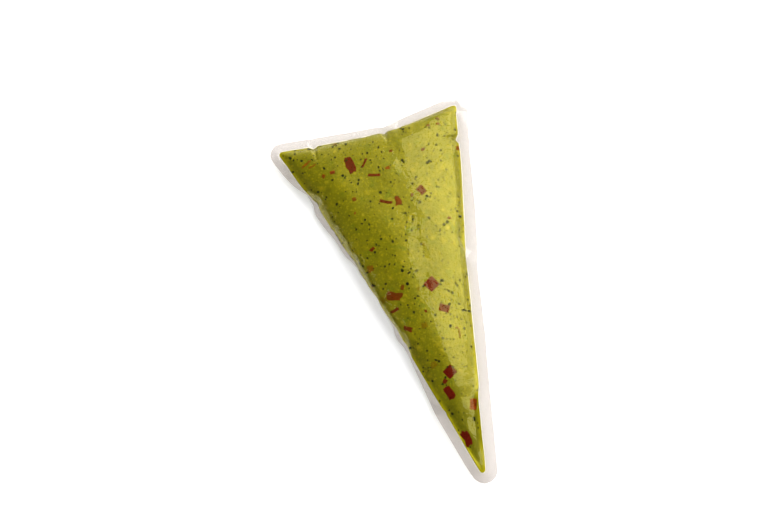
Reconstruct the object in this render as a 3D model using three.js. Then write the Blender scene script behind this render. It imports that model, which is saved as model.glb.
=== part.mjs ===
// A clear sealed pouch of guacamole, in the long triangular shape of a piping bag, lying flat on a table.
// Two sheets of film are welded together round a filled pocket. The pocket is a low pillow, full below the
// wide top seal and tapering to a round tip, and the weld stands out all round it as a thin, wavy seal.
// Millimetres, +Z up. +Y points from the tip to the top seal. The origin is under the middle of the pouch.

import * as THREE from "three";

// Driving dimensions of the filled pocket
const pocketHalfWidth = 85.5; // half the top edge, between the two upper corners
const pocketApex = 356; // from the top edge to the point where the two straight sides would meet
const pocketFullness = 15.8; // how far the film bulges to each side of the weld where the pocket is fullest
const fullestAt = 1 / 3; // share of the way from the top edge to the tip where it is fullest
const topTaper = 0.95; // these three shape the bulge: below 1 it rises fast from an edge, above 1 slowly
const tipTaper = 0.64;
const sideTaper = 0.92;
const edgeFade = 0.07; // over this last share of the way out, the bulge dies down to the weld
const cornerRadius = 4; // the pocket's three corners, tip included
const weldHeight = 13; // the weld's height above the table along the sides
const topWeldLift = 1.2; // the top seal and its ears ride this much higher
const topLiftReach = 60; // how far down from the top seal that lift reaches

// The weld round the pocket. It hangs down between the corners: the tilts are degrees below level at an
// edge's ends and where it is steepest, which is that share of the edge from its first corner, clockwise.
// Waves are how many times the seal ripples on the way.
const seals = {
  top: { width: 7.5, endTilt: 8, midTilt: 40, steepest: 0.5, waves: 3.5 },
  right: { width: 10.5, endTilt: 6, midTilt: 13, steepest: 0.5, waves: 5.5 },
  left: { width: 8, endTilt: 14, midTilt: 54, steepest: 0.36, waves: 6.5 },
};
const sealThickness = 0.8;
const sealWaveHeight = 1;
const squareCorner = 3.5; // the upper right corner of the film is cut less round than the left one
const rimFollows = 0.35; // the film's cut edge follows a fold's notch in the weld this much
const sealCurve = 1.3; // the seal hangs down in a curve, steeper further out

// How the filling pulls the straight edges in
const topPull = 4;
const rightPull = 3.4;
const leftPull = 2;
const topSkew = 0.039; // the top edge is cut slightly askew, higher at the left corner

// How the mesh is divided
const cornerSteps = 6;
const topSteps = 26;
const sideSteps = 38;
const pocketRings = [0.985, 0.955, 0.91, 0.85, 0.78, 0.7, 0.61, 0.51, 0.4, 0.28, 0.15];
const sealRings = [0.5, 1];

// Folds where the film buckles. Along is the share of an edge from its left or upper end, reach how far the
// fold runs into the pocket, width its half width along the edge, depth how deep it is, and notch how far
// it pulls the weld in.
const folds = [
  { edge: "top", along: 0.57, width: 13, reach: 30, depth: 3.2, notch: 2.6 },
  { edge: "top", along: 0.19, width: 9, reach: 22, depth: 2.2, notch: 1.8 },
  { edge: "right", along: 0.1, width: 11, reach: 20, depth: 2.6, notch: 3 },
  { edge: "left", along: 0.2, width: 10, reach: 16, depth: 1.8, notch: 1.6 },
  { edge: "left", along: 0.74, width: 9, reach: 12, depth: 1.6, notch: 2.6 },
];
const deepestFold = 0.75; // no fold takes away more than this share of the bulge

const corners = {
  left: new THREE.Vector2(-pocketHalfWidth, pocketHalfWidth * topSkew),
  right: new THREE.Vector2(pocketHalfWidth, -pocketHalfWidth * topSkew),
  tip: new THREE.Vector2(0, -pocketApex),
};
const middle = new THREE.Vector2(0, -pocketApex * 0.3);

// An edge of the pocket's triangle, from one corner to the next, with the way out of the pocket.
function edgeBetween(name, from, to, pull, steps) {
  const direction = to.clone().sub(from).normalize();
  let outward = new THREE.Vector2(direction.y, -direction.x);
  if (outward.dot(middle.clone().sub(from)) > 0) outward = outward.negate();
  return { name, from, to, direction, outward, length: from.distanceTo(to), pull, steps };
}

// Clockwise seen from above: the top edge to the right corner, down to the tip, and back up the left side.
const edges = [
  edgeBetween("top", corners.left, corners.right, topPull, topSteps),
  edgeBetween("right", corners.right, corners.tip, rightPull, sideSteps),
  edgeBetween("left", corners.tip, corners.left, leftPull, sideSteps),
];

// How far inside an edge's straight line a point lies.
function depthInside(edge, point) {
  return point.clone().sub(edge.from).dot(edge.outward) * -1;
}

// A fold's strength at a place along its edge, from 0 to 1. The left edge runs upwards, so its share is
// counted from the other end.
function foldShare(fold, edge, point) {
  const share = edge.name === "left" ? 1 - fold.along : fold.along;
  const away = point.clone().sub(edge.from).dot(edge.direction) - share * edge.length;
  return Math.exp(-((away / fold.width) ** 2));
}

// How far the folds notch the weld inwards at a point along an edge.
function notchDepth(edge, point) {
  const notches = folds.filter((fold) => fold.edge === edge.name);
  return notches.reduce((sum, fold) => sum + fold.notch * foldShare(fold, edge, point), 0);
}

// The circle that touches two edges that meet at a corner.
function cornerCircle(corner, before, after) {
  const inward = before.outward.clone().add(after.outward).negate().normalize();
  const sine = Math.abs(before.direction.cross(inward));
  return { centre: corner.clone().addScaledVector(inward, cornerRadius / sine), before, after };
}

// The weld line as a loop of points, each with its way outwards, how deep it is notched, and the seal's
// width, tilt in degrees and wave there.
function weldLoop() {
  const loop = [];
  const circles = [
    cornerCircle(corners.left, edges[2], edges[0]),
    cornerCircle(corners.right, edges[0], edges[1]),
    cornerCircle(corners.tip, edges[1], edges[2]),
  ];
  circles.forEach((circle, index) => {
    const from = circle.before.outward.angle();
    let turn = circle.after.outward.angle() - from;
    if (turn > 0) turn -= 2 * Math.PI;
    for (let step = 0; step <= cornerSteps; step++) {
      const share = step / cornerSteps;
      const angle = from + turn * share;
      const outward = new THREE.Vector2(Math.cos(angle), Math.sin(angle));
      const extra = index === 1 ? squareCorner * Math.sin(Math.PI * share) : 0;
      const [before, after] = [seals[circle.before.name], seals[circle.after.name]];
      const width = THREE.MathUtils.lerp(before.width, after.width, share) + extra;
      const tilt = THREE.MathUtils.lerp(before.endTilt, after.endTilt, share);
      const point = circle.centre.clone().addScaledVector(outward, cornerRadius);
      loop.push({ point, outward, notch: 0, width, tilt, wave: 0 });
    }
    const edge = circle.after;
    const seal = seals[edge.name];
    const next = circles[(index + 1) % circles.length];
    const start = loop.at(-1).point;
    const end = next.centre.clone().addScaledVector(edge.outward, cornerRadius);
    for (let step = 1; step < edge.steps; step++) {
      const share = step / edge.steps;
      const point = start.clone().lerp(end, share);
      const belly = Math.sin(Math.PI * share);
      const notch = notchDepth(edge, point);
      const towardsSteepest = Math.sin(Math.PI * share ** (Math.log(0.5) / Math.log(seal.steepest)));
      const tilt = THREE.MathUtils.lerp(seal.endTilt, seal.midTilt, towardsSteepest);
      const wave = belly * Math.sin(2 * Math.PI * seal.waves * share);
      point.addScaledVector(edge.outward, -edge.pull * belly - notch);
      loop.push({ point, outward: edge.outward, notch, width: seal.width, tilt, wave });
    }
  });
  return loop;
}

// How far the film bulges away from the weld's level at a point of the pocket: the pillow's profile from the
// top edge to the tip, times its arch from side to side.
function bulge(point) {
  const [top, right, left] = edges.map((edge) => Math.max(depthInside(edge, point), 0));
  const down = THREE.MathUtils.clamp(top / pocketApex, 0, 1);
  const across = right + left > 0 ? (right - left) / (right + left) : 1;
  const swell = (share) => share * (1 - share) ** 2;
  const profile = (swell(down) / swell(fullestAt)) ** (down < fullestAt ? topTaper : tipTaper);
  return pocketFullness * profile * (1 - across * across) ** sideTaper;
}

// How deep the folds press the upper film in at a point of the pocket.
function foldDepth(point) {
  return folds.reduce((sum, fold) => {
    const edge = edges.find((candidate) => candidate.name === fold.edge);
    const inside = Math.max(depthInside(edge, point), 0);
    return sum + fold.depth * foldShare(fold, edge, point) * Math.exp(-((inside / fold.reach) ** 2));
  }, 0);
}

function weldLevel(point) {
  return weldHeight + topWeldLift * Math.exp(Math.min(point.y, 0) / topLiftReach);
}

// The two heights of a place in the pocket. Ring is its share of the way from the middle out to the weld. The
// underside lies flat on the table, and a fold never reaches down to the weld.
function pocketHeights(point, ring) {
  const fade = Math.min(1, (1 - ring) / edgeFade);
  const level = weldLevel(point);
  const high = bulge(point) * fade;
  const dent = Math.min(foldDepth(point) * fade, high * deepestFold);
  const upper = level + sealThickness / 2 + high - dent;
  const lower = Math.max(level - sealThickness / 2 - high, 0);
  return { upper, lower };
}

// The pouch as rings of points: from the middle out to the weld, and on to the seal's edge, above and below.
function pouchGeometry() {
  const loop = weldLoop();
  const positions = [];
  const faces = [];
  const addPoint = (point, z) => {
    positions.push(point.x, point.y, z);
    return positions.length / 3 - 1;
  };

  const upperRings = [];
  const lowerRings = [];
  for (const ring of [...pocketRings].reverse()) {
    const upper = [];
    const lower = [];
    for (const { point } of loop) {
      const place = middle.clone().lerp(point, ring);
      const heights = pocketHeights(place, ring);
      upper.push(addPoint(place, heights.upper));
      lower.push(addPoint(place, heights.lower));
    }
    upperRings.push(upper);
    lowerRings.push(lower);
  }
  for (const out of [0, ...sealRings]) {
    const upper = [];
    const lower = [];
    for (const { point, outward, notch, width, tilt, wave } of loop) {
      const slope = THREE.MathUtils.degToRad(tilt);
      const reach = width * Math.cos(slope) * out + notch * (1 - rimFollows) * out;
      const place = point.clone().addScaledVector(outward, reach);
      const drop = width * Math.sin(slope) * out ** sealCurve;
      const level = weldLevel(point) - drop + sealWaveHeight * wave * out;
      upper.push(addPoint(place, level + sealThickness / 2));
      lower.push(addPoint(place, level - sealThickness / 2));
    }
    upperRings.push(upper);
    lowerRings.push(lower);
  }

  const centre = pocketHeights(middle, 0);
  const top = addPoint(middle, centre.upper);
  const bottom = addPoint(middle, centre.lower);
  const count = loop.length;
  const band = (inner, outer, i, j) => {
    faces.push(inner[i], inner[j], outer[j], inner[i], outer[j], outer[i]);
  };
  for (let i = 0; i < count; i++) {
    const j = (i + 1) % count;
    faces.push(top, upperRings[0][j], upperRings[0][i]);
    faces.push(bottom, lowerRings[0][i], lowerRings[0][j]);
    for (let ring = 1; ring < upperRings.length; ring++) {
      band(upperRings[ring - 1], upperRings[ring], i, j);
      band(lowerRings[ring - 1], lowerRings[ring], j, i);
    }
    band(upperRings.at(-1), lowerRings.at(-1), i, j);
  }

  const geometry = new THREE.BufferGeometry();
  geometry.setAttribute("position", new THREE.Float32BufferAttribute(positions, 3));
  geometry.setIndex(faces);
  geometry.computeVertexNormals();
  return geometry;
}

// Guacamole seen through clear film: olive green under a gloss.
const guacamoleInFilm = new THREE.MeshStandardMaterial({ color: 0x8f8a12, roughness: 0.25, metalness: 0 });

const filledPouch = new THREE.Mesh(pouchGeometry(), guacamoleInFilm);
filledPouch.name = "filled_pouch";

// The pouch is moved so that the origin lies under the middle of its outline.
filledPouch.geometry.computeBoundingBox();
const outline = filledPouch.geometry.boundingBox;
filledPouch.position.set(-(outline.min.x + outline.max.x) / 2, -(outline.min.y + outline.max.y) / 2, 0);

const pouch = new THREE.Group();
pouch.add(filledPouch);

export default pouch;
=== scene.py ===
# %% [markdown]
# # A sealed pouch of guacamole
# A filled pouch is a soft thing: two flat sheets of clear film are welded together round the edge, and the
# filling pushes them apart until they hold it. Its form can't be drawn well by hand, because every pull at
# the weld comes from the flat cut. So this lesson does what the pouch maker does. It cuts two flat sheets,
# welds them, fills them by simulation, and then adds the guacamole, the pieces in it, and the finish of
# each.
#
# All lengths are in metres, with +Z up. +Y points from the tip to the wide top seal.

import math
import random

import bmesh
import bpy
import numpy as np
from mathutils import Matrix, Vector, noise
from mathutils.bvhtree import BVHTree


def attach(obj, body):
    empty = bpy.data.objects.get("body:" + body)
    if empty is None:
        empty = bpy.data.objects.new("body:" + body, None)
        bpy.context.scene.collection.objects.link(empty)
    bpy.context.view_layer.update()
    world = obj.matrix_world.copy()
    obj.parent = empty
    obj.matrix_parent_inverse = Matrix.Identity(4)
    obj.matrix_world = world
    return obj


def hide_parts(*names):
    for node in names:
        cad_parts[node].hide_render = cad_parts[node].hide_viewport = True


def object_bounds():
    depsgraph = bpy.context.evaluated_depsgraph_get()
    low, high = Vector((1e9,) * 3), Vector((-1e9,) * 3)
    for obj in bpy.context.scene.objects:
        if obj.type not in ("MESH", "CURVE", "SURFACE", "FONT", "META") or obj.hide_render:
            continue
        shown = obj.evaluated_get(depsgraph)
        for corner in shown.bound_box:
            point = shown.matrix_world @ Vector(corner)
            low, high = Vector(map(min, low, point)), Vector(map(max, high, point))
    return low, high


MM = 0.001
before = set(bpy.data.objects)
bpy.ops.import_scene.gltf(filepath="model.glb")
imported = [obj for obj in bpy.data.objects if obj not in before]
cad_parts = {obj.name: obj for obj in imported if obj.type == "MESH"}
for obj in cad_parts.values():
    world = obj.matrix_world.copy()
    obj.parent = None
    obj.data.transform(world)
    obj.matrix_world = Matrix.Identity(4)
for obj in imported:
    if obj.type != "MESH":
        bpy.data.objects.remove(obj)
cad_low, cad_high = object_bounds()
cad_size = cad_high - cad_low
print("solid pouch, mm:", [round(side / MM, 1) for side in cad_size])

# %% [markdown]
# ## Small helpers
# Operators act on whatever is selected, and loading the frame leaves its solid selected. So each step
# starts by clearing the selection and picking the one object that it works on.

# %% Helpers for selecting and for edit mode
def pick(*pieces):
    """Selects only these objects and makes the first one active."""
    if bpy.context.object and bpy.context.object.mode != "OBJECT":
        bpy.ops.object.mode_set(mode="OBJECT")
    bpy.ops.object.select_all(action="DESELECT")
    for piece in pieces:
        piece.select_set(True)
    bpy.context.view_layer.objects.active = pieces[0]


def edit(piece, part="FACE"):
    """Goes into edit mode on one object, with everything deselected."""
    pick(piece)
    bpy.ops.object.mode_set(mode="EDIT")
    bpy.ops.mesh.select_mode(type=part)
    bpy.ops.mesh.select_all(action="DESELECT")


def select_where(piece, kind, wanted):
    """In edit mode, selects the verts, edges or faces that pass a test."""
    mesh = bmesh.from_edit_mesh(piece.data)
    for item in getattr(mesh, kind):
        item.select_set(bool(wanted(item)))
    mesh.select_flush_mode()
    bmesh.update_edit_mesh(piece.data)


def apply_modifiers(piece):
    """Applies every modifier of a piece, in order."""
    pick(piece)
    for modifier in list(piece.modifiers):
        bpy.ops.object.modifier_apply(modifier=modifier.name)


def rows_of(items, name):
    """One vector of each of a mesh's items, as an array with a row for each."""
    rows = np.empty(len(items) * 3)
    items.foreach_get(name, rows)
    return rows.reshape(-1, 3)


def points_of(piece):
    """A mesh's points as an array."""
    return rows_of(piece.data.vertices, "co")


def move_points(piece, points):
    """Puts a mesh's points where the array says."""
    piece.data.vertices.foreach_set("co", np.asarray(points).ravel())
    piece.data.update()


bpy.ops.object.select_all(action="DESELECT")

# %% [markdown]
# ## The flat cut
# The real film is cut to a long triangle with rounded corners, and the weld runs round it a few
# millimetres in from the edge. Both outlines are convex, so each is a set of straight cuts: the three
# sides, and a fan of short cuts round each corner. A plain grid is trimmed by the outer cuts. The inner
# cuts trim nothing away: they only lay an edge along the weld, so that the film can bend sharply there.

# %% Sizes of the cut
SEAL_TOP = 7.5 * MM
SEAL_LEFT = 8 * MM
SEAL_RIGHT = 10.5 * MM
TOP_SLANT = 0.039
PULLED_IN = 0.5 * MM
POCKET_HALF_WIDTH = cad_size.x / 2 - (SEAL_LEFT + SEAL_RIGHT) / 2 + PULLED_IN
POCKET_APEX = 1.9 * cad_size.x
POCKET_CORNERS = {"left": 4 * MM, "right": 2.5 * MM, "tip": 3 * MM}
FILM_CORNERS = {"left": 9 * MM, "right": 3 * MM, "tip": 12 * MM}
CELL = 4 * MM
ON_WELD = 0.1 * MM
SHORTEST_EDGE = 0.12 * CELL
FURTHEST_NUDGE = 1.1 * SHORTEST_EDGE
SPARE_WIDTH = 50 * MM
SPARE_LENGTH = 40 * MM


def three_sides(top=0.0, right=0.0, left=0.0):
    """The straight cuts, each as a point and the way out, moved outwards by the given widths."""
    up = Vector((TOP_SLANT, 1, 0)).normalized()
    out_right = Vector((POCKET_APEX, -POCKET_HALF_WIDTH, 0)).normalized()
    out_left = Vector((-out_right.x, out_right.y, 0))
    corner_right = Vector((POCKET_HALF_WIDTH, 0, 0))
    return {
        "top": (up * top, up),
        "right": (corner_right + out_right * right, out_right),
        "left": (-corner_right + out_left * left, out_left),
    }


def corner_cuts(one, other, radius, steps=6):
    """Cuts that round the corner between two sides: each touches a circle of that radius."""
    (point_a, out_a), (point_b, out_b) = one, other
    rows = np.array([out_a.xy, out_b.xy])
    offsets = np.array([out_a.dot(point_a) - radius, out_b.dot(point_b) - radius])
    centre = Vector((*np.linalg.solve(rows, offsets), 0))
    start = math.atan2(out_a.y, out_a.x)
    turn = math.remainder(math.atan2(out_b.y, out_b.x) - start, 2 * math.pi)
    cuts = []
    for step in range(1, steps):
        angle = start + turn * step / steps
        out = Vector((math.cos(angle), math.sin(angle), 0))
        cuts.append((centre + out * radius, out))
    return cuts


def outline(radii, **widths):
    """All cuts of a rounded triangle."""
    side = three_sides(**widths)
    return [
        *side.values(),
        *corner_cuts(side["top"], side["left"], radii["left"]),
        *corner_cuts(side["top"], side["right"], radii["right"]),
        *corner_cuts(side["right"], side["left"], radii["tip"]),
    ]


film_cuts = outline(FILM_CORNERS, top=SEAL_TOP, right=SEAL_RIGHT, left=SEAL_LEFT)
pocket_cuts = outline(POCKET_CORNERS)


def depth_in_pocket(point):
    """How far inside the weld a point of the flat cut lies. It is negative out in the seal."""
    return min((start - point).dot(out) for start, out in pocket_cuts)


print("pocket, mm:", round(2 * POCKET_HALF_WIDTH / MM, 1), "by", round(POCKET_APEX / MM, 1))

# %% Cut the flat sheet
def flat_sheet():
    """One flat sheet of film, trimmed to its outline, with edges along the weld."""
    wide, high = 2 * POCKET_HALF_WIDTH + SPARE_WIDTH, POCKET_APEX + SPARE_LENGTH
    bpy.ops.mesh.primitive_grid_add(
        x_subdivisions=round(wide / CELL),
        y_subdivisions=round(high / CELL),
        size=1,
    )
    sheet = bpy.context.object
    edit(sheet)
    bpy.ops.mesh.select_all(action="SELECT")
    bpy.ops.transform.resize(value=(wide, high, 1))
    bpy.ops.transform.translate(value=(0, (SPARE_LENGTH - high) / 2, 0))
    for cuts, trims in ((film_cuts, True), (pocket_cuts, False)):
        for start, out in cuts:
            bpy.ops.mesh.select_all(action="SELECT")
            bpy.ops.mesh.bisect(plane_co=start, plane_no=out, clear_outer=trims)
    bpy.ops.mesh.select_all(action="SELECT")
    bpy.ops.mesh.dissolve_degenerate(threshold=SHORTEST_EDGE)
    bpy.ops.object.mode_set(mode="OBJECT")
    return sheet


def snap_to_weld(sheet):
    """Dissolving short edges nudges points off the weld. This puts them back on it."""
    for vertex in sheet.data.vertices:
        start, out = min(pocket_cuts, key=lambda cut: (cut[0] - vertex.co).dot(cut[1]))
        depth = (start - vertex.co).dot(out)
        if abs(depth) < FURTHEST_NUDGE:
            vertex.co += out * depth


pouch = flat_sheet()
snap_to_weld(pouch)
print("flat sheet:", len(pouch.data.vertices), "points")

# %% [markdown]
# ## Two sheets, welded
# The lower sheet is a copy of the pocket's faces, turned over. The two are lifted a little apart inside
# the weld and merged along it, so they share that line of points, as two films share a weld. The seal
# itself stays one layer here, because two welded films move as one. Each face is labelled by its material
# slot as upper film, seal or lower film, and the labels last through every later step.

# %% Weld the second sheet on
REST_HEIGHT = 12 * MM
FIRST_GAP = 1.5 * MM
GAP_RAMP = 10 * MM
MERGE_WITHIN = 0.01 * MM
UPPER, SEAL, LOWER = 0, 1, 2
BOW = 0.065
TOP_EASE = 0.03
LENGTH_EASE = 0.982
TOP_HOLLOW = 2.75 * MM


def label_selected(piece, label):
    """In edit mode, puts the selected faces in a material slot."""
    piece.active_material_index = label
    bpy.ops.object.material_slot_assign()


def in_seal(face):
    """A face is in the seal if none of its points lies inside the weld."""
    return max(depth_in_pocket(vertex.co) for vertex in face.verts) < ON_WELD


def weld_lower_sheet(sheet):
    """Copies the pocket's faces, turns them over and merges them with the sheet along the weld."""
    for label in ("upper", "seal", "lower"):
        sheet.data.materials.append(bpy.data.materials.new(label))
    edit(sheet)
    select_where(sheet, "faces", in_seal)
    label_selected(sheet, SEAL)
    bpy.ops.mesh.select_all(action="INVERT")
    bpy.ops.mesh.duplicate()
    bpy.ops.mesh.flip_normals()
    label_selected(sheet, LOWER)
    bpy.ops.object.mode_set(mode="OBJECT")
    is_copy = np.array([vertex.select for vertex in sheet.data.vertices])
    points = points_of(sheet)
    depth = np.array([depth_in_pocket(Vector(point)) for point in points])
    ramp = np.clip(depth / GAP_RAMP, 0, 1) * (depth > ON_WELD)
    points[:, 2] = REST_HEIGHT + np.where(is_copy, -FIRST_GAP, FIRST_GAP) * ramp
    move_points(sheet, points)
    edit(sheet)
    bpy.ops.mesh.select_all(action="SELECT")
    bpy.ops.mesh.remove_doubles(threshold=MERGE_WITHIN)
    bpy.ops.object.mode_set(mode="OBJECT")


def bow_sides(sheet):
    """Widens the middle of the cut, where filling draws the sides in again, and hollows its top edge."""
    points = points_of(sheet)
    down = np.clip(-points[:, 1] / POCKET_APEX, 0, 1)
    across = np.clip(points[:, 0] / POCKET_HALF_WIDTH, -1, 1)
    points[:, 0] *= 1 + TOP_EASE * (1 - down) + BOW * 4 * down * (1 - down)
    points[:, 1] = points[:, 1] * LENGTH_EASE - TOP_HOLLOW * (1 - across ** 2) * (1 - down) ** 4
    move_points(sheet, points)


weld_lower_sheet(pouch)
flat = points_of(pouch)
bow_sides(pouch)
flat_depth = np.array([depth_in_pocket(Vector((x, y, 0))) for x, y, z in flat])
print("welded pouch:", len(flat), "points,", sum(abs(flat_depth) < ON_WELD), "of them on the weld")

# %% [markdown]
# ## Filling it
# The filling is a thick mash, so it presses outwards much as a fluid does, and the film hardly stretches.
# Blender's cloth can do that: a pressure that aims for a given volume inside, a stiff weave, and a weld
# that bends less than the single film. A table under the pouch flattens it where it rests. Nothing here is
# random, so every run gives the same pouch. Near the tip the cells are large beside the pouch and the
# cloth buckles, and a thick mash holds the crown smoother than a fluid would, so both are smoothed
# afterwards.

# %% Fill the pouch by simulation
FILL_VOLUME = 525e-6
FRAMES = 50
SPARE_FRAMES = 5
CLOTH_GAP = 1 * MM
TIP_FROM = -0.66 * POCKET_APEX
TIP_PASSES = 5
CROWN_INSET = 11 * MM
CROWN_PASSES = 18
RELAX_SHARE = 0.5
TIP_PLACE = -179.3 * MM


def lay_table():
    """A plane that stops the cloth at the height of the table."""
    bpy.ops.mesh.primitive_plane_add(size=2)
    table = bpy.context.object
    bpy.ops.object.modifier_add(type="COLLISION")
    table.collision.thickness_outer = CLOTH_GAP
    table.collision.cloth_friction = 5
    return table


def fill(sheet, volume, frames):
    """Blows the welded sheets up to a volume, lets them settle on the table, and keeps the result."""
    groups = {"filled": flat_depth > -ON_WELD, "stiff": flat_depth < ON_WELD}
    for name, members in groups.items():
        group = sheet.vertex_groups.new(name=name)
        group.add([int(index) for index in np.flatnonzero(members)], 1.0, "REPLACE")
    table = lay_table()
    pick(sheet)
    bpy.ops.object.modifier_add(type="CLOTH")
    cloth = sheet.modifiers[-1]
    weave = cloth.settings
    weave.quality = 8
    weave.mass = 0.0002
    weave.tension_stiffness = 15
    weave.compression_stiffness = 7.5
    weave.shear_stiffness = 4.5
    weave.bending_stiffness = 0.2
    weave.bending_stiffness_max = 2.2
    weave.vertex_group_bending = "stiff"
    weave.tension_damping = weave.compression_damping = weave.shear_damping = 5
    weave.bending_damping = 0.5
    weave.air_damping = 5
    weave.use_pressure = True
    weave.uniform_pressure_force = 0
    weave.use_pressure_volume = True
    weave.target_volume = volume
    weave.pressure_factor = 10
    weave.fluid_density = 1
    weave.vertex_group_pressure = "filled"
    cloth.collision_settings.distance_min = CLOTH_GAP
    cloth.collision_settings.use_self_collision = False
    cloth.point_cache.frame_end = frames + SPARE_FRAMES
    scene = bpy.context.scene
    scene.frame_start, scene.frame_end = 1, frames + SPARE_FRAMES
    for frame_number in range(1, frames + 1):
        scene.frame_set(frame_number)
    apply_modifiers(sheet)
    bpy.data.objects.remove(table)
    scene.frame_set(1)


def relax(sheet, chosen, passes):
    """Moves the chosen points towards the middle of their neighbours, again and again."""
    edit(sheet, "VERT")
    select_where(sheet, "verts", lambda vertex: chosen[vertex.index])
    bpy.ops.mesh.vertices_smooth(factor=RELAX_SHARE, repeat=passes)
    bpy.ops.object.mode_set(mode="OBJECT")


fill(pouch, FILL_VOLUME, FRAMES)
relax(pouch, (flat_depth > ON_WELD) & (flat[:, 1] < TIP_FROM), TIP_PASSES)
relax(pouch, (flat_depth > CROWN_INSET) & (flat[:, 2] > REST_HEIGHT), CROWN_PASSES)
points = points_of(pouch)
low, high = points.min(0), points.max(0)
points -= [(low[0] + high[0]) / 2, low[1] - TIP_PLACE, low[2]]
move_points(pouch, points)
print("filled pouch, mm:", ((high - low) / MM).round(1))

# %% [markdown]
# ## Three skins from one form
# The filled form now gives three pieces: the upper film, the lower film, and the surface of the guacamole
# between them. Each keeps only its own faces. The flat cut's coordinates travel along as an attribute, so
# that a later step can still ask how far a point is from the weld.

# %% Keep the flat cut and crease the weld
def keep_flat_cut(sheet):
    """Stores the flat cut's coordinates on the points."""
    attribute = sheet.data.attributes.new("flat", "FLOAT_VECTOR", "POINT")
    attribute.data.foreach_set("vector", flat.ravel())


def crease_weld(sheet):
    """Creases every edge where two labels meet, so that subdivision keeps the weld sharp."""
    edit(sheet, "EDGE")
    select_where(sheet, "edges", lambda edge: len({face.material_index for face in edge.link_faces}) > 1)
    bpy.ops.transform.edge_crease(value=1)
    bpy.ops.object.mode_set(mode="OBJECT")


keep_flat_cut(pouch)
crease_weld(pouch)
labels = [face.material_index for face in pouch.data.polygons]
print("faces in upper, seal and lower:", [labels.count(label) for label in (UPPER, SEAL, LOWER)])


# %% Take a skin
def skin(name, dropped, level):
    """A copy of the filled form without some of its faces, subdivided to a smooth surface."""
    pick(pouch)
    bpy.ops.object.duplicate()
    piece = bpy.context.object
    piece.name = piece.data.name = name
    edit(piece)
    select_where(piece, "faces", lambda face: face.material_index in dropped)
    bpy.ops.mesh.delete(type="FACE")
    bpy.ops.object.mode_set(mode="OBJECT")
    smooth = piece.modifiers.new("smooth", "SUBSURF")
    smooth.levels = smooth.render_levels = level
    apply_modifiers(piece)
    pick(piece)
    bpy.ops.object.shade_smooth()
    return piece


upper_film = skin("upper_film", {LOWER}, 2)
lower_film = skin("lower_film", {UPPER}, 2)
guacamole = skin("guacamole", {SEAL}, 2)


def turn_seal_over(piece):
    """The seal's faces look up in the shared form, and down in the lower film."""
    edit(piece)
    select_where(piece, "faces", lambda face: face.material_index == SEAL)
    bpy.ops.mesh.flip_normals()
    bpy.ops.object.mode_set(mode="OBJECT")


turn_seal_over(lower_film)
for piece in (upper_film, lower_film, guacamole):
    print(piece.name, len(piece.data.polygons), "faces")

# %% [markdown]
# ## Folds, seal and the bumps of the mash
# The simulation gives the broad form. What it can't know is chance: where the top edge was nipped when the
# pouch was sealed, how far each seal has curled down under the weight, and the lumps of the mash that show
# through the film. Each of these is a small move of the points, worked out from the flat cut. All three
# skins get the same moves, so they stay nested.

# %% Where each point lies on the flat cut
CUT_STARTS = np.array([start for start, out in pocket_cuts])
CUT_OUTS = np.array([out for start, out in pocket_cuts])
SIDE_NAMES = ("top", "right", "left")
SHEETS_APART = 0.2 * MM
WAVE_SHIFT = (7.3, 3.1, 5.7)


def ease(value):
    """Rises softly from 0 to 1."""
    value = np.clip(value, 0, 1)
    return value * value * (3 - 2 * value)


def flat_of(piece):
    """The flat cut's coordinates of each point of a piece."""
    return rows_of(piece.data.attributes["flat"].data, "vector")


def cut_depths(flat_points):
    """How far inside each cut of the pocket the points lie. The first columns are the three sides."""
    return (CUT_STARTS * CUT_OUTS).sum(1) - flat_points @ CUT_OUTS.T


def along_sides(flat_points):
    """How far along each side the points lie: left to right, top to tip, and tip to top."""
    across = (flat_points[:, 0] + POCKET_HALF_WIDTH) / (2 * POCKET_HALF_WIDTH)
    down = -flat_points[:, 1] / POCKET_APEX
    return {"top": across, "right": down, "left": 1 - down}


def flattened(flat_points):
    """The flat cut's coordinates without their height, so that both sheets get the same waves."""
    return flat_points * [1, 1, 0]


def which_sheet(flat_points):
    """1 on the upper sheet, -1 on the lower one, and 0 on the weld and in the seal."""
    return np.clip((flat_points[:, 2] - REST_HEIGHT) / SHEETS_APART, -1, 1)


def wave(points, size, seed):
    """Smooth noise between -1 and 1, with waves of about this size."""
    shift = Vector([seed * step for step in WAVE_SHIFT])
    return np.array([noise.noise(Vector(point) / size + shift) for point in points])


print("cuts round the pocket:", len(pocket_cuts))

# %% Curl the seal
SEAL_CURL = {
    # least and most turn in degrees, and where along the side it is most
    "top": (-4, 14, 0.5),
    "right": (-4, 4, 0.5),
    "left": (-2, 18, 0.36),
}
CURL_SPREAD = 0.3
CURL_WAVE = 26 * MM
CURL_WAVE_DEGREES = 4
CORNER_BLEND = 12 * MM


def curl_seal(points, flat_points):
    """Turns the seal down about the weld, most at the place that each side names."""
    depths = cut_depths(flat_points)
    beyond = np.clip(-depths.min(1), 0, None)
    way_out = CUT_OUTS[depths.argmin(1)]
    along = along_sides(flat_points)
    nearness = np.exp(-(depths[:, :3] - depths[:, :3].min(1)[:, None]) / CORNER_BLEND)
    nearness /= nearness.sum(1)[:, None]
    degrees = CURL_WAVE_DEGREES * wave(flattened(flat_points), CURL_WAVE, 1)
    for column, side in enumerate(SIDE_NAMES):
        least, most, steepest = SEAL_CURL[side]
        bump = np.exp(-(((along[side] - steepest) / CURL_SPREAD) ** 2))
        degrees += nearness[:, column] * (least + (most - least) * bump)
    turn = np.radians(degrees)
    points += way_out * (beyond * (np.cos(turn) - 1))[:, None]
    points[:, 2] -= beyond * np.sin(turn)


print("most curl, degrees:", {side: most for side, (least, most, steepest) in SEAL_CURL.items()})

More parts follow.
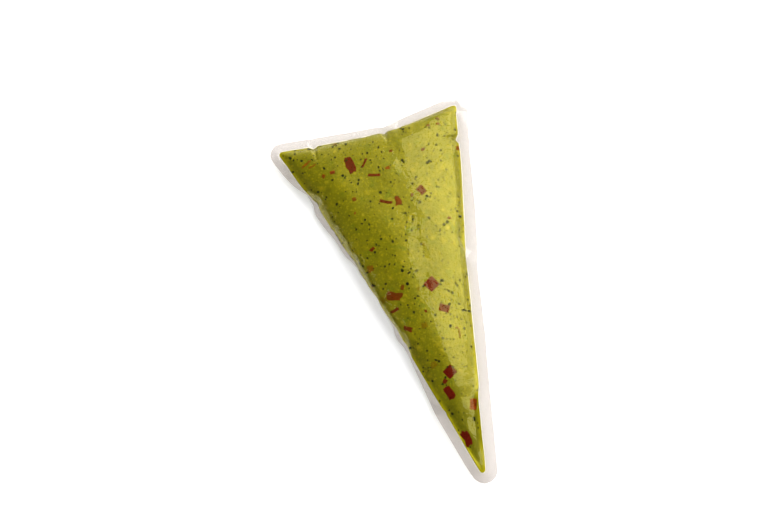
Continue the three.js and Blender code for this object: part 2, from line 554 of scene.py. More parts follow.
# %% Press the folds in
FOLDS = (
    # side, how far along, then width, reach, depth and notch in mm
    ("top", 0.57, 10, 22, 3.6, 2.6),
    ("top", 0.19, 9, 22, 2.2, 1.8),
    ("right", 0.1, 11, 20, 2.6, 3.0),
    ("left", 0.2, 8, 12, 0.7, 0.8),
    ("left", 0.74, 9, 12, 0.9, 1.1),
)
FOLD_POINT = 0.25
FOLD_SHARPNESS = 1.2
FOLD_RUN = 0.7
RIM_FOLLOWS = 0.2
RIM_REACH = 6 * MM
UNDERSIDE_FADE = 6 * MM


def side_ends(side):
    """Both ends of a side of the pocket, in the order in which it is measured."""
    left = np.array([-POCKET_HALF_WIDTH, POCKET_HALF_WIDTH * TOP_SLANT, 0])
    right = np.array([POCKET_HALF_WIDTH, -POCKET_HALF_WIDTH * TOP_SLANT, 0])
    tip = np.array([0, -POCKET_APEX, 0])
    return {"top": (left, right), "right": (right, tip), "left": (tip, left)}[side]


def press_fold(points, flat_points, side, along, width, reach, depth, notch):
    """A V-shaped fold: widest and deepest at the weld, running in to a point."""
    start, end = side_ends(side)
    out = CUT_OUTS[SIDE_NAMES.index(side)]
    run = (end - start) / np.linalg.norm(end - start)
    offset = flattened(flat_points) - (start + (end - start) * along)
    inwards = -(offset @ out)
    fade = np.clip(1 - np.clip(inwards, 0, None) / (reach * MM), 0, 1)
    half = width / 2 * MM * (FOLD_POINT + (1 - FOLD_POINT) * fade)
    across = np.clip(1 - abs(offset @ run) / half, 0, 1) ** FOLD_SHARPNESS
    rim = np.where(inwards < 0, 1 - (1 - RIM_FOLLOWS) * ease(-inwards / RIM_REACH), 1)
    sheet = which_sheet(flat_points)
    under = np.where(sheet < 0, np.exp(-np.clip(inwards, 0, None) / UNDERSIDE_FADE), 1)
    points[:, 2] -= depth * MM * across * fade ** FOLD_RUN * rim * under
    points -= out * (notch * MM * across * fade ** 2 * rim)[:, None]


print("folds pressed in:", len(FOLDS))

# %% Raise the creases beside the right weld and the top one
CREASES = (
    # side, inset, height and width in mm, then start and end along the side, each with its run-out
    ("right", 9.5, 1.5, 2.4, 0.04, 0.08, 0.78, 0.25),
    ("top", 7, 1.6, 2.4, 0.58, 0.04, 1.0, 0.1),
)
INNER_SLOPE = 4
CREASE_WANDERS = 1.2 * MM
CREASE_WAVE = 60 * MM


def raise_crease(points, flat_points, side, inset, height, width, start, start_run, end, end_run):
    """A long crease in the upper film, with a steep strip between it and the weld."""
    depth = cut_depths(flat_points)[:, SIDE_NAMES.index(side)]
    depth = depth + CREASE_WANDERS * wave(flattened(flat_points), CREASE_WAVE, 2)
    along = along_sides(flat_points)[side]
    length = ease((along - start) / start_run) * ease((end - along) / end_run)
    beyond = depth - inset * MM
    ridge = np.exp(-abs(beyond) / (width * MM * np.where(beyond > 0, INNER_SLOPE, 1)))
    points[:, 2] += height * MM * ridge * length * (which_sheet(flat_points) > 0.5)


print("creases raised beside:", [side for side, *sizes in CREASES])

# %% Bump the skins with the lumps of the mash
LUMPS = ((22 * MM, 0.12 * MM), (8 * MM, 0.06 * MM), (3.6 * MM, 0.03 * MM))
LUMPS_FADE = 5 * MM
LOWEST = 0.3 * MM


def lump(flat_points):
    """How far the mash pushes the film out or lets it in, by its lumps of several sizes."""
    height = np.zeros(len(flat_points))
    for number, (size, push) in enumerate(LUMPS):
        height += push * wave(flat_points, size, 3 + number)
    return height * ease(cut_depths(flat_points).min(1) / LUMPS_FADE)


def normals_of(piece):
    """A mesh's point normals as an array."""
    return rows_of(piece.data.vertex_normals, "vector")


def dress(piece):
    """Gives one skin its curl, folds, creases and lumps, and keeps it on the table."""
    flat_points = flat_of(piece)
    points = points_of(piece)
    curl_seal(points, flat_points)
    for fold in FOLDS:
        press_fold(points, flat_points, *fold)
    for crease in CREASES:
        raise_crease(points, flat_points, *crease)
    points += normals_of(piece) * lump(flat_points)[:, None]
    points[:, 2] = np.maximum(points[:, 2], LOWEST)
    move_points(piece, points)


for piece in (upper_film, lower_film, guacamole):
    dress(piece)
    reach = points_of(piece)
    print(piece.name, "mm:", ((reach.max(0) - reach.min(0)) / MM).round(1))

# %% [markdown]
# ## Film and filling
# The skins all lie on one surface now. The film is 0.12 mm thick and lies just outside it, so each film
# skin moves out by that and a hair more, and Solidify gives it its inner face. The filling lies just
# inside, and its edge is drawn a hair back from the weld, here more and there less. How near each point is
# to the weld is kept as a value of the mesh, because the mash is thin there and the finish paints light
# into its colour there, in place of the light that comes through it.

# %% Give the film its thickness
FILM_THICKNESS = 0.12 * MM
FILM_GAP = 0.01 * MM
FILM_OUTSIDE, FILM_SEAL, FILM_INSIDE = 0, 1, 2


def thicken_film(piece):
    """Moves a skin out by the film's thickness, and closes it with an inner face."""
    labels = [face.material_index for face in piece.data.polygons]
    move_points(piece, points_of(piece) + normals_of(piece) * (FILM_THICKNESS + FILM_GAP))
    piece.data.materials.clear()
    for name in ("film outside", "film seal", "film inside"):
        piece.data.materials.append(bpy.data.materials.new(name))
    slots = [FILM_SEAL if label == SEAL else FILM_OUTSIDE for label in labels]
    piece.data.polygons.foreach_set("material_index", slots)
    wall = piece.modifiers.new("wall", "SOLIDIFY")
    wall.thickness = FILM_THICKNESS
    wall.offset = -1
    wall.material_offset = FILM_INSIDE
    wall.material_offset_rim = FILM_SEAL
    apply_modifiers(piece)


for piece in (upper_film, lower_film):
    thicken_film(piece)
    print(piece.name, len(piece.data.polygons), "faces")

# %% Draw the filling in from the film
FILLING_INSET = 0.22 * MM
EDGE_GAP = 0.06 * MM
EDGE_MEAN = 0.55
EDGE_WAVES = ((9 * MM, 0.5), (3 * MM, 0.35))
EDGE_RANGE = (0.1, 1.4)
EDGE_REACH = 7 * MM
THIN_REACH = 5 * MM


def draw_in(piece):
    """Moves the filling's surface in, and pulls its edge unevenly back from the weld."""
    flat_points = flat_of(piece)
    points = points_of(piece) - normals_of(piece) * FILLING_INSET
    depths = cut_depths(flat_points)
    near = np.clip(1 - depths.min(1) / EDGE_REACH, 0, 1) ** 2
    uneven = EDGE_MEAN
    for number, (size, push) in enumerate(EDGE_WAVES):
        uneven = uneven + push * wave(flattened(flat_points), size, 8 + number)
    pull = EDGE_GAP * np.clip(uneven, *EDGE_RANGE) * near
    move_points(piece, points - CUT_OUTS[depths.argmin(1)] * pull[:, None])
    # How thin the mash is near the weld. The finish paints light into its colour there.
    thin = ease(1 - depths.min(1) / THIN_REACH)
    piece.data.attributes.new("thin", "FLOAT", "POINT").data.foreach_set("value", thin)


draw_in(guacamole)
surface = BVHTree.FromObject(guacamole, bpy.context.evaluated_depsgraph_get())
print("guacamole:", len(guacamole.data.polygons), "faces")

# %% [markdown]
# ## Pieces in the mash
# Diced red pepper, slivers of its skin, chopped herb, lighter avocado and a little green show through the
# film. The film presses them flush, so each is a small solid whose top follows the surface of the mash and
# stands a hair above it, and whose body is sunk in. One shape of each kind is modelled. Copies of it are
# then stretched, turned, made ragged, and laid on the surface point by point.

# %% Model one piece of each kind
def take_shape(levels=0, crease=0.0):
    """Ends edit mode, smooths the active primitive, and returns its points and faces."""
    shape = bpy.context.object
    if bpy.context.object.mode == "EDIT":
        bpy.ops.transform.edge_crease(value=crease)
        bpy.ops.object.mode_set(mode="OBJECT")
    if levels:
        rounding = shape.modifiers.new("rounding", "SUBSURF")
        rounding.levels = rounding.render_levels = levels
        apply_modifiers(shape)
    points = points_of(shape)
    faces = [list(face.vertices) for face in shape.data.polygons]
    bpy.data.objects.remove(shape)
    return points, faces


def cut_die():
    """A rounded cube, one unit across, for diced pepper."""
    bpy.ops.mesh.primitive_cube_add(size=1)
    bpy.ops.object.mode_set(mode="EDIT")
    bpy.ops.mesh.select_all(action="SELECT")
    return take_shape(levels=3, crease=0.86)


def cut_fleck():
    """A seven-sided chip, for chopped herb. There are many, so it has few faces."""
    bpy.ops.mesh.primitive_cylinder_add(vertices=7, radius=0.5, depth=1, end_fill_type="TRIFAN")
    return take_shape()


def cut_lump():
    """A round lump with a flattened top and bottom, for soft avocado."""
    bpy.ops.mesh.primitive_ico_sphere_add(subdivisions=2, radius=0.5)
    points, faces = take_shape()
    points[:, 2] = np.clip(2 * points[:, 2], -0.5, 0.5)
    return points, faces


DIE = cut_die()
FLECK = cut_fleck()
LUMP = cut_lump()
print("faces of one piece:", [len(faces) for points, faces in (DIE, FLECK, LUMP)])

# %% Lay a piece under the film
PROUD = {"pepper": 0.12 * MM, "herb": 0.16 * MM, "soft": 0.07 * MM}
ABOVE = 0.2
DEEPEST = 0.6
BEND_BALANCE = 0.1
RAGS = ((1.3, 1, 0), (3, 0.5, 9))
SEED_STEP = 0.37
SMOOTH_BELOW = math.radians(18)


def surface_at(x, y, face_up):
    """The point and the way out of the mash's surface above or below a place. None past its edge."""
    start = Vector((x, y, ABOVE if face_up else -ABOVE))
    hit, out, face, distance = surface.ray_cast(start, Vector((0, 0, -1 if face_up else 1)))
    return (hit, out) if hit else None


def rag(angle, seed):
    """How far a ragged piece's edge goes out or in at this angle round it."""
    reach = 0
    for waves, push, shift in RAGS:
        spot = Vector((waves * math.cos(angle), waves * math.sin(angle), seed + shift))
        reach += push * noise.noise(spot)
    return reach


def lay_piece(shape, place, length, width, thickness, turn, ragged, proud, bend, seed, face_up=True):
    """A copy of a shape, laid so that its top follows the surface. None if it would reach past the edge.

    Where the pouch is thin, so is the piece.
    """
    cosine, sine = math.cos(turn), math.sin(turn)
    points = []
    for u, v, w in shape[0]:
        grow = 1 + ragged * rag(math.atan2(v, u), seed)
        x, y = u * grow * length, v * grow * width + bend * (u * u - BEND_BALANCE) * length
        found = surface_at(place[0] + x * cosine - y * sine, place[1] + x * sine + y * cosine, face_up)
        if found is None:
            return None
        hit, out = found
        far = surface_at(hit.x, hit.y, not face_up)
        room = abs(hit.z - far[0].z) if far else 0
        lift = proud - (0.5 - w) * min(thickness, DEEPEST * room)
        points.append(hit + out * lift)
    return points


class Tray:
    """Gathers the laid pieces of one kind for one mesh. Mash covers a soft piece towards its rim."""

    def __init__(self, shape, soft=False):
        rim = np.hypot(shape[0][:, 0], shape[0][:, 1]) / 0.5
        self.shape, self.fade = shape, (ease(rim) if soft else 0 * rim)
        self.points, self.faces, self.tones, self.sunk = [], [], [], []

    def add(self, tone, sunk, **how):
        """Lays a piece, if it fits, with its tone of colour and how far mash covers it, both 0 to 1."""
        laid = lay_piece(self.shape, seed=len(self.tones) * SEED_STEP, **how)
        if laid is None:
            return
        first = len(self.points)
        self.points += laid
        self.faces += [[index + first for index in face] for face in self.shape[1]]
        self.tones += [tone] * len(laid)
        self.sunk += [float(sunk + (1 - sunk) * fade) for fade in self.fade]

    def make(self, name):
        """One mesh of all the pieces, with their tone and cover as attributes."""
        mesh = bpy.data.meshes.new(name)
        mesh.from_pydata(self.points, [], self.faces)
        for kind, values in (("tone", self.tones), ("sunk", self.sunk)):
            mesh.attributes.new(kind, "FLOAT", "POINT").data.foreach_set("value", values)
        piece = bpy.data.objects.new(name, mesh)
        bpy.context.collection.objects.link(piece)
        edit(piece)
        bpy.ops.mesh.select_all(action="SELECT")
        bpy.ops.mesh.normals_make_consistent(inside=False)
        bpy.ops.object.mode_set(mode="OBJECT")
        pick(piece)
        bpy.ops.object.shade_smooth_by_angle(angle=SMOOTH_BELOW)
        print(name, len(self.faces), "faces")
        return piece


print("mash at the middle, mm up:", round(surface_at(0, 0, True)[0].z / MM, 1))

# %% Lay the red pepper
PEPPER_THICKNESS = 3 * MM
DIE_FULL = 1.12
MORE_PEPPER = 70
MORE_ON_TOP = 26
BIG_SHARE = 0.3
BIG_SIZES = (7, 10)
SMALL_SIZES = (2, 5)
THINNER_BELOW = 6
SHOWN_PEPPER = (
    # place across and along, length, width in mm, turn in degrees, ragged, bend, tone, sunk
    (7.1, 3.2, 10.3, 9.9, 28, 0.04, 0, 0.3, 0.0),
    (-2, -77, 9, 8.6, 28, 0.05, 0, 0.05, 0.0),
    (11, -21, 8.6, 6.6, -30, 0.12, 0, 0.25, 0.05),
    (-29, 132, 15, 7, 98, 0.34, 0.05, 0.15, 0.05),
    (-16, 131, 9, 2, 50, 0.2, 0.1, 0.15, 0.1),
    (-11, 117, 10.5, 2.6, -16, 0.2, 0.1, 0.25, 0.1),
    (26, 90, 8, 6, 110, 0.35, 0.3, 0.25, 0.1),
    (-9, 89, 11, 2.8, -28, 0.25, 0.15, 0.15, 0.1),
    (2, 87, 7.4, 4.6, 90, 0.35, 0.5, 0.45, 0.15),
    (-35, 100, 4, 3, 0, 0.4, 0, 0.4, 0.3),
    (-34, 50, 4, 3, 30, 0.4, 0, 0.2, 0.1),
    (-41, 34, 5.5, 5, 0, 0.4, 0, 0.7, 0.45),
    (-19, 8, 4.5, 3, 60, 0.4, 0, 0.3, 0.25),
    (-28.5, 2.5, 12, 7, -28, 0.38, 0.1, 0.25, 0.15),
    (-38, 3, 6, 5, 0, 0.4, 0, 0.5, 0.75),
    (-31.7, -9.3, 7, 2.6, 8, 0.3, 0.2, 0.15, 0.1),
    (-25.8, -29.2, 7, 3.8, -38, 0.35, 0, 0.2, 0.1),
    (-11, -31, 5, 4.5, 0, 0.4, 0, 0.5, 0.7),
    (17, -46, 9, 1.8, 80, 0.35, 0.2, 0.6, 0.6),
    (-14, -67, 6, 4, 20, 0.4, 0, 0.5, 0.7),
    (-9, -84, 4, 3, 40, 0.4, 0, 0.1, 0.05),
    (-8, -94, 11, 6.5, 105, 0.3, 0.2, 0.1, 0.0),
    (9, -110, 9, 5.4, 70, 0.1, 0, 1.0, 0.1),
    (-6, -137, 12, 6, 100, 0.4, 0.3, 0.1, 0.0),
    (3, 120, 4.5, 2.5, 10, 0.4, 0.2, 0.95, 0.3),
    (42, 58, 3, 2.2, 0, 0.4, 0, 0.3, 0.1),
    (16, 88, 3.4, 2.4, 40, 0.4, 0, 0.3, 0.2),
    (52, 150, 3, 2, 0, 0.4, 0, 0.4, 0.2),
    (61, 149, 3, 2, 0, 0.4, 0, 0.4, 0.2),
    (11, 135, 3, 2, 0, 0.4, 0, 0.3, 0.1),
    (40, 128, 3, 2.4, 0, 0.4, 0, 0.3, 0.1),
    (-67, 148, 9, 2, 25, 0.4, 0.2, 0.9, 0.35),
    (-62, 144, 7, 1.6, 10, 0.4, 0.2, 0.9, 0.45),
)


def somewhere(draw, across, along):
    """A place drawn within so many millimetres of the middle."""
    return draw.uniform(-across, across) * MM, draw.uniform(-along, along) * MM


def lay_pepper():
    """The pieces that stand out, then a few small ones on top and all of the underside's."""
    tray = Tray(DIE)
    for x, y, length, width, turn, ragged, bend, tone, sunk in SHOWN_PEPPER:
        tray.add(
            tone,
            sunk,
            place=(x * MM, y * MM),
            length=length * MM * DIE_FULL,
            width=width * MM * DIE_FULL,
            thickness=PEPPER_THICKNESS,
            turn=math.radians(turn),
            ragged=ragged,
            proud=PROUD["pepper"],
            bend=bend,
        )
    draw = random.Random(11)
    for number in range(MORE_PEPPER):
        face_up = number < MORE_ON_TOP
        big = not face_up and draw.random() < BIG_SHARE
        length = draw.uniform(*(BIG_SIZES if big else SMALL_SIZES))
        tray.add(
            draw.uniform(0.1, 0.7),
            draw.uniform(0.1, 0.8) if face_up else draw.uniform(0, 0.7),
            place=somewhere(draw, 80, 160),
            length=length * MM,
            width=length * draw.uniform(0.35, 0.95) * MM,
            thickness=PEPPER_THICKNESS * min(1, length / THINNER_BELOW),
            turn=draw.uniform(0, math.pi),
            ragged=0.35,
            proud=PROUD["pepper"],
            bend=draw.uniform(0, 0.3),
            face_up=face_up,
        )
    return tray.make("red_pepper_pieces")


red_pepper_pieces = lay_pepper()

# %% [markdown]
# ## Many small bits
# Chopped herb and soft lumps are far too many to place by eye, and nobody would miss one that lies
# elsewhere. A particle system could strew them, but its pieces aren't real meshes. So a seeded draw picks
# each bit's place, size and turn, and the function that laid the pepper lays it. A bit that would hide a
# large piece is skipped.

# %% Scatter the herb, the avocado and the green
CLEAR_OF_PEPPER = 0.4
SMALL_BIAS = 3
SHARE_ON_TOP = 0.55


def over_pepper(place, radius):
    """Whether a small piece here would cover one of the pepper pieces that stand out."""
    for x, y, length, *rest in SHOWN_PEPPER:
        if math.dist(place, (x * MM, y * MM)) < radius + CLEAR_OF_PEPPER * length * MM:
            return True
    return False


def scatter(name, shape, count, sizes, slimness, thickness, ragged, sunk, seed):
    """Lays a number of small pieces of one kind over both faces, small ones far more often than large."""
    tray = Tray(shape, soft=shape is LUMP)
    draw = random.Random(seed)
    for number in range(count):
        length = sizes[0] + (sizes[1] - sizes[0]) * draw.random() ** SMALL_BIAS
        place = somewhere(draw, 86, 170)
        if over_pepper(place, length * MM / 2):
            continue
        tray.add(
            draw.random(),
            draw.uniform(*sunk),
            place=place,
            length=length * MM,
            width=length * draw.uniform(*slimness) * MM,
            thickness=thickness * MM * (0.5 + 0.5 * length / sizes[1]),
            turn=draw.uniform(0, 2 * math.pi),
            ragged=ragged,
            proud=PROUD["soft" if shape is LUMP else "herb"],
            bend=draw.uniform(-0.2, 0.2),
            face_up=draw.random() < SHARE_ON_TOP,
        )
    return tray.make(name)


herb_flecks = scatter(
    "herb_flecks", FLECK, count=1700, sizes=(1.3, 3.3), slimness=(0.6, 1),
    thickness=0.6, ragged=0.35, sunk=(0, 0.15), seed=5,
)
avocado_lumps = scatter(
    "avocado_lumps", LUMP, count=1300, sizes=(1.4, 9), slimness=(0.5, 1),
    thickness=1.6, ragged=0.5, sunk=(0.1, 0.7), seed=6,
)
green_lumps = scatter(
    "green_lumps", LUMP, count=150, sizes=(2.5, 11), slimness=(0.35, 0.8),
    thickness=1.4, ragged=0.5, sunk=(0.3, 0.8), seed=7,
)

# %% [markdown]
# ## Materials
# Everything here is wet and lies under clear film, so gloss matters as much as colour. A picture of mash
# could be wrapped round the pouch, but it would stretch and repeat. Noise that is read at each point's own
# place does neither. A few short helpers make the nodes. Colours are given as linear red, green and blue.

# %% Helpers for materials
def fresh_material(name):
    """A material with an empty node tree, its output, and where its pattern is read."""
    material = bpy.data.materials.new(name)
    material.use_nodes = True
    tree = material.node_tree
    tree.nodes.clear()
    output = tree.nodes.new("ShaderNodeOutputMaterial")
    place = tree.nodes.new("ShaderNodeTexCoord").outputs["Object"]
    return material, tree, output, place


def add_node(tree, kind, inputs, **settings):
    """Adds a node. Each input is given a value, or is joined to another node's output."""
    node = tree.nodes.new("ShaderNode" + kind)
    for name, value in settings.items():
        setattr(node, name, value)
    for name, value in inputs.items():
        if isinstance(value, bpy.types.NodeSocket):
            tree.links.new(value, node.inputs[name])
        else:
            node.inputs[name].default_value = value
    return node


def noise_node(tree, place, size, detail=2, roughness=0.5):
    """Noise with patches of about this size in metres."""
    inputs = {"Vector": place, "Scale": 1 / size, "Detail": detail, "Roughness": roughness}
    return add_node(tree, "TexNoise", inputs).outputs["Fac"]


def cell_node(tree, place, size):
    """Distances inside cells of about this size in metres."""
    return add_node(tree, "TexVoronoi", {"Vector": place, "Scale": 1 / size}).outputs["Distance"]


def ramp_node(tree, value, low, high):
    """Stretches a value so that low becomes 0 and high becomes 1."""
    inputs = {"Value": value, "From Min": low, "From Max": high}
    return add_node(tree, "MapRange", inputs).outputs["Result"]


def mix_node(tree, amount, first, second):
    """Mixes two colours, each a colour or another node's output, by an amount from 0 to 1."""
    inputs = {"Factor": amount}
    for socket, colour in ((6, first), (7, second)):
        inputs[socket] = (*colour, 1) if isinstance(colour, tuple) else colour
    return add_node(tree, "Mix", inputs, data_type="RGBA").outputs[2]


def bump_node(tree, height, depth, strength=1):
    """Bumps of this depth in metres, read from a height from 0 to 1."""
    inputs = {"Height": height, "Distance": depth, "Strength": strength}
    return add_node(tree, "Bump", inputs).outputs["Normal"]


def share_node(tree, value, share):
    """A share of a value."""
    return add_node(tree, "Math", {0: value, 1: share}, operation="MULTIPLY").outputs[0]


def along_node(tree, place):
    """How far along the pouch, from the tip to the top seal, in metres from the middle."""
    return add_node(tree, "SeparateXYZ", {0: place}).outputs["Y"]


def attribute_node(tree, name):
    """One of a mesh's own values."""
    return add_node(tree, "Attribute", {}, attribute_name=name).outputs["Fac"]


WET_TINT = (1.0, 0.86, 0.13)
WET_IOR = 1.5


def wet_shader(tree, output, colour, normal, roughness, gloss):
    """The wet surface that all the contents share."""
    shader = add_node(tree, "BsdfPrincipled", {
        "Base Color": colour,
        "Normal": normal,
        "Roughness": roughness,
        "IOR": WET_IOR,
        "Specular IOR Level": gloss,
        "Specular Tint": (*WET_TINT, 1),
    })
    tree.links.new(shader.outputs["BSDF"], output.inputs["Surface"])


# %% [markdown]
# ## The colour of the mash
# Mashed avocado is never one green. It has broad lighter patches, darker and greener ones, soft lumps, pale
# flesh and a fine grain. Each is a layer of noise of its own size, laid over the one before. Down at the
# tip the mash is darkened, which is painted shade. Beside the weld, where it is thin, it is lightened,
# which is painted light standing in for the light that comes through it.

# %% The mash
MASH = (0.148, 0.14, 0.0006)
MASH_LIGHT = (0.205, 0.18, 0.001)
MASH_DARK = (0.085, 0.085, 0.0005)
MASH_GREEN = (0.098, 0.13, 0.0008)
MASH_PALE = (0.4, 0.31, 0.004)
# Painted light: the colour of thin mash beside the weld, standing in for light that comes through it.
MASH_THIN_GLOW = (0.42, 0.37, 0.002)
PATCHES = (
    # size in mm, detail, roughness, where the patch starts and where it is full, and its colour
    (22, 3, 0.5, 0.45, 0.75, MASH_LIGHT),
    (13, 3, 0.6, 0.56, 0.74, MASH_GREEN),
    (8, 4, 0.6, 0.55, 0.76, MASH_DARK),
    (4.5, 4, 0.65, 0.5, 0.7, MASH_LIGHT),
)
FLESH_SIZE, FLESH_EDGE, FLESH_MIDDLE, FLESH_SHARE = 4.6 * MM, 0.26, 0.1, 0.3
GRAIN_SIZE, GRAIN_FROM, GRAIN_FULL, GRAIN_SHARE = 2 * MM, 0.56, 0.66, 0.4
# Painted shade at the tip: where it starts and where it is full along the pouch, and how strong it is.
TIP_SHADE_FROM, TIP_SHADE_FULL, TIP_SHADE_SHARE = -55 * MM, -150 * MM, 0.85
THIN_GLOW_SHARE = 0.75
MASH_ROUGHNESS = 0.26
MASH_WET = 0.7
BUMP_STRENGTH = 0.5
MASH_RIPPLE, MASH_RIPPLE_DEPTH = 2.2 * MM, 0.4 * MM
PIECE_RIPPLE_DEPTH = 0.3 * MM
MOTTLE_FROM, MOTTLE_FULL, MOTTLE_TONE = 0.35, 0.75, 0.6


def mash_colour(tree, place):
    """The mash's uneven colour: patches of four sizes, pale flesh, a fine grain, and painted shade towards
    the tip.
    """
    colour = MASH
    for size, detail, roughness, start, full, patch in PATCHES:
        amount = ramp_node(tree, noise_node(tree, place, size * MM, detail, roughness), start, full)
        colour = mix_node(tree, amount, colour, patch)
    flesh = ramp_node(tree, cell_node(tree, place, FLESH_SIZE), FLESH_EDGE, FLESH_MIDDLE)
    grain = ramp_node(tree, noise_node(tree, place, GRAIN_SIZE), GRAIN_FROM, GRAIN_FULL)
    # Painted shade: the mash is darkened towards the tip, where less light falls on it.
    tip = ramp_node(tree, along_node(tree, place), TIP_SHADE_FROM, TIP_SHADE_FULL)
    colour = mix_node(tree, share_node(tree, flesh, FLESH_SHARE), colour, MASH_PALE)
    colour = mix_node(tree, share_node(tree, grain, GRAIN_SHARE), colour, MASH_PALE)
    return mix_node(tree, share_node(tree, tip, TIP_SHADE_SHARE), colour, MASH_DARK)


def mash_material():
    """Moist mashed avocado, with painted light where it is thin beside the weld."""
    material, tree, output, place = fresh_material("mash")
    # Painted light where the mash is thin, standing in for light that comes through it.
    thin = share_node(tree, attribute_node(tree, "thin"), THIN_GLOW_SHARE)
    colour = mix_node(tree, thin, mash_colour(tree, place), MASH_THIN_GLOW)
    ripples = noise_node(tree, place, MASH_RIPPLE, 4, 0.6)
    normal = bump_node(tree, ripples, MASH_RIPPLE_DEPTH, BUMP_STRENGTH)
    wet_shader(tree, output, colour, normal, MASH_ROUGHNESS, MASH_WET)
    return material


def piece_material(name, dark, light, roughness, grain_size, gloss):
    """A piece in the mash: mottled between two tones of its own, and mash-coloured where it is sunk."""
    material, tree, output, place = fresh_material(name)
    own = mix_node(tree, attribute_node(tree, "tone"), dark, light)
    grain = noise_node(tree, place, grain_size, 3, 0.6)
    mottle = ramp_node(tree, grain, MOTTLE_FROM, MOTTLE_FULL)
    own = mix_node(tree, mottle, own, tuple(MOTTLE_TONE * part for part in dark))
    colour = mix_node(tree, attribute_node(tree, "sunk"), own, mash_colour(tree, place))
    normal = bump_node(tree, grain, PIECE_RIPPLE_DEPTH, BUMP_STRENGTH)
    wet_shader(tree, output, colour, normal, roughness, gloss)
    return material


def dress_with(piece, material):
    """Gives a piece one material all over."""
    piece.data.materials.clear()
    piece.data.materials.append(material)


PIECE_LOOKS = (
    # piece, name, darkest and lightest tone, roughness, size of its grain and gloss
    (red_pepper_pieces, "red pepper", (0.1, 0.002, 0.001), (0.34, 0.035, 0.003), 0.22, 2 * MM, 0.05),
    (herb_flecks, "herb", (0.004, 0.006, 0.002), (0.016, 0.024, 0.003), 0.4, 1 * MM, 0.02),
    (avocado_lumps, "avocado", (0.36, 0.28, 0.003), (0.46, 0.37, 0.015), 0.26, 3 * MM, 0.7),
    (green_lumps, "green", (0.1, 0.16, 0.002), (0.16, 0.21, 0.01), 0.26, 3 * MM, 0.7),
)
dress_with(guacamole, mash_material())
for piece, *look in PIECE_LOOKS:
    dress_with(piece, piece_material(*look))
    print(piece.name, "finished as", piece.data.materials[0].name)

# %% [markdown]
# ## The finish of the film
# The film hardly shows by itself: one sees the mash through it, and the light that it mirrors. A glass
# shader bends the view, which so thin a film hardly does, so the film is a mix instead. A clear shader lets
# the view through, a milky one gives the seal its haze, and a glossy one mirrors more the more it is seen
# from the side. Over the mash the mirror image takes on the mash's yellow. The seal's haze and tint count
# twice, because two films lie there.

# %% The film
MILK = (0.9, 0.87, 0.84)
GLANCE_POWER = 5
GLANCE_MOST = 0.6


def film_material(name, tint, gloss, roughness, face_on, haze, ripple_size, ripple_depth):
    """Clear film: it lets light through, and mirrors a share face on and more at a glance."""
    material, tree, output, place = fresh_material(name)
    clear = add_node(tree, "BsdfTransparent", {"Color": (*tint, 1)})
    milky = add_node(tree, "BsdfDiffuse", {"Color": (*MILK, 1)})
    body = add_node(tree, "MixShader", {0: haze, 1: clear.outputs[0], 2: milky.outputs[0]})
    ripples = bump_node(tree, noise_node(tree, place, ripple_size), ripple_depth)
    shine = add_node(tree, "BsdfGlossy", {"Color": (*gloss, 1), "Roughness": roughness, "Normal": ripples})
    glance = add_node(tree, "LayerWeight", {"Blend": 0.5}).outputs["Facing"]
    steep = add_node(tree, "Math", {0: glance, 1: GLANCE_POWER}, operation="POWER").outputs[0]
    mirrored = add_node(tree, "MapRange", {"Value": steep, "To Min": face_on, "To Max": GLANCE_MOST})
    film = {0: mirrored.outputs[0], 1: body.outputs[0], 2: shine.outputs[0]}
    tree.links.new(add_node(tree, "MixShader", film).outputs[0], output.inputs["Surface"])
    return material


def inner_film_material():
    """The film's inner face is wetted by the mash, so it mirrors nothing here."""
    material, tree, output, place = fresh_material("film inside")
    clear = add_node(tree, "BsdfTransparent", {})
    tree.links.new(clear.outputs[0], output.inputs["Surface"])
    return material


film_over_mash = film_material(
    "film", tint=(1, 1, 0.99), gloss=(1, 0.94, 0.48), roughness=0.06, face_on=0.018, haze=0,
    ripple_size=12 * MM, ripple_depth=0.25 * MM,
)
film_seal = film_material(
    "film seal", tint=(0.815, 0.785, 0.765), gloss=(1, 1, 1), roughness=0.08, face_on=0.03, haze=0.1,
    ripple_size=6 * MM, ripple_depth=0.6 * MM,
)
film_inside = inner_film_material()
for piece in (upper_film, lower_film):
    for slot, material in enumerate((film_over_mash, film_seal, film_inside)):
        piece.data.materials[slot] = material
    print(piece.name, "finished as", [material.name for material in piece.data.materials])

# %% [markdown]
# ## Table, light and camera
# The pouch lies on a white light table, which glows enough to lift its shadow. One large soft light hangs
# to the right. Its mirror image fills the right half of the film, from the top seal to the tip, and ends
# in a clear edge along the crest. A narrow light on the left gives a few small glints, and the room gives
# the rest.

# %% Table
TABLE_GLOW = 0.5
TABLE_WHITE = (0.85, 0.85, 0.85)
bpy.ops.mesh.primitive_plane_add(size=6)
table_top = bpy.context.object
table_top.name = table_top.data.name = "table_top"
table_material, tree, output, place = fresh_material("table")
paint = add_node(tree, "BsdfPrincipled", {
    "Base Color": (*TABLE_WHITE, 1),
    "Roughness": 1,
    "Specular IOR Level": 0,
    "Emission Color": (1, 1, 1, 1),
    "Emission Strength": TABLE_GLOW,
})
tree.links.new(paint.outputs[0], output.inputs["Surface"])
dress_with(table_top, table_material)
print("table, m:", [round(side, 2) for side in table_top.dimensions])

# %% Lights
BRIGHT_SIDE = (0.8, 0.3, -0.52)
ROOM_TURN = (-0.4, 0.6)
ROOM_BRIGHTNESS = (0.22, 2.9)


def soft_light(name, place, aim, wide, long, brightness):
    """A rectangular soft light, turned from its place towards what it lights, this bright per area."""
    bpy.ops.object.light_add(type="AREA", location=place)
    light = bpy.context.object
    light.name = name
    light.rotation_euler = (Vector(aim) - Vector(place)).to_track_quat("-Z", "Y").to_euler()
    light.data.shape = "RECTANGLE"
    light.data.size, light.data.size_y = wide, long
    light.data.energy = brightness * wide * long * math.pi
    print(name, "gives", round(light.data.energy, 1), "W")


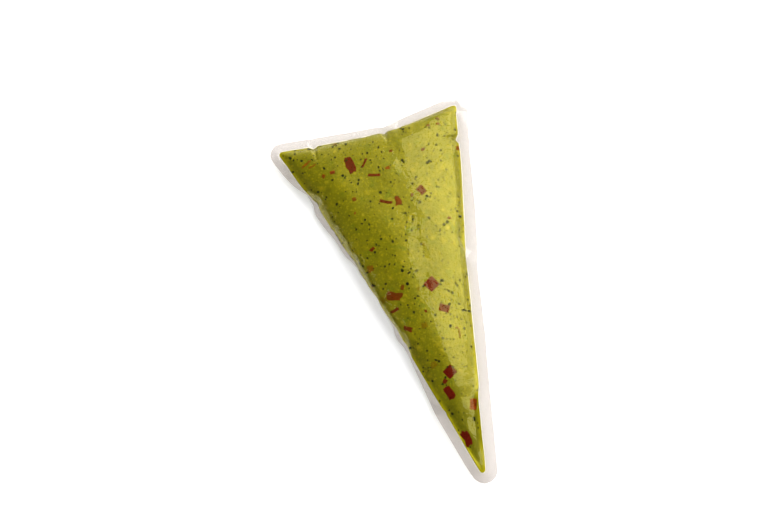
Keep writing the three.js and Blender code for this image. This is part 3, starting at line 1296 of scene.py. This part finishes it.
def light_room():
    """A room that is bright low on the right and dark overhead, so that the film mirrors little of it."""
    room = bpy.data.worlds.new("room")
    room.use_nodes = True
    tree = room.node_tree
    background = tree.nodes["Background"]
    direction = tree.nodes.new("ShaderNodeTexCoord").outputs["Generated"]
    towards = add_node(tree, "VectorMath", {0: direction, 1: BRIGHT_SIDE}, operation="DOT_PRODUCT")
    strength = add_node(tree, "MapRange", {
        "Value": towards.outputs["Value"],
        "From Min": ROOM_TURN[0],
        "From Max": ROOM_TURN[1],
        "To Min": ROOM_BRIGHTNESS[0],
        "To Max": ROOM_BRIGHTNESS[1],
    })
    background.inputs["Color"].default_value = (1, 1, 1, 1)
    tree.links.new(strength.outputs[0], background.inputs["Strength"])
    return room


soft_light(
    "large softbox", place=(1.78, 0.6, 2.0), aim=(1.78, 0.6, 0), wide=2.6, long=2.0, brightness=3.8,
)
soft_light(
    "narrow light", place=(-0.85, 0.1, 0.95), aim=(0, 0, 0), wide=0.06, long=0.7, brightness=2,
)
bpy.context.scene.world = light_room()
bpy.context.scene.view_settings.view_transform = "Standard"

# %% Camera
CAMERA_AIM = Vector((-23.7, 47.5, 0)) * MM
CAMERA_AZIMUTH = math.radians(-17.8)
CAMERA_ELEVATION = math.radians(74.4)
CAMERA_DISTANCE = 1.5
SENSOR_WIDTH = 36
LENS = 76.6


def add_camera():
    """Looks down steeply from beyond the tip, as the photograph does."""
    back = Vector((
        math.sin(CAMERA_AZIMUTH) * math.cos(CAMERA_ELEVATION),
        -math.cos(CAMERA_AZIMUTH) * math.cos(CAMERA_ELEVATION),
        math.sin(CAMERA_ELEVATION),
    ))
    bpy.ops.object.camera_add(location=CAMERA_AIM + back * CAMERA_DISTANCE)
    camera = bpy.context.object
    camera.rotation_euler = (-back).to_track_quat("-Z", "Y").to_euler()
    camera.data.sensor_width = SENSOR_WIDTH
    camera.data.lens = LENS
    camera.data.dof.use_dof = False
    return camera


bpy.context.scene.camera = add_camera()
print("camera at, m:", [round(value, 2) for value in bpy.context.scene.camera.location])

# %% [markdown]
# ## Hand the pieces over
# The pouch is one body. The film and its contents together stand for the one solid of the model.

# %% Bodies and what is replaced
bpy.data.objects.remove(pouch)
SLOTS = (
    (upper_film, "film"),
    (lower_film, "film"),
    (guacamole, "guacamole"),
    (red_pepper_pieces, "red_pepper"),
    (herb_flecks, "herb"),
    (avocado_lumps, "avocado"),
    (green_lumps, "avocado"),
)
for piece, slot in SLOTS:
    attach(piece, "root")
    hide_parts("filled_pouch")
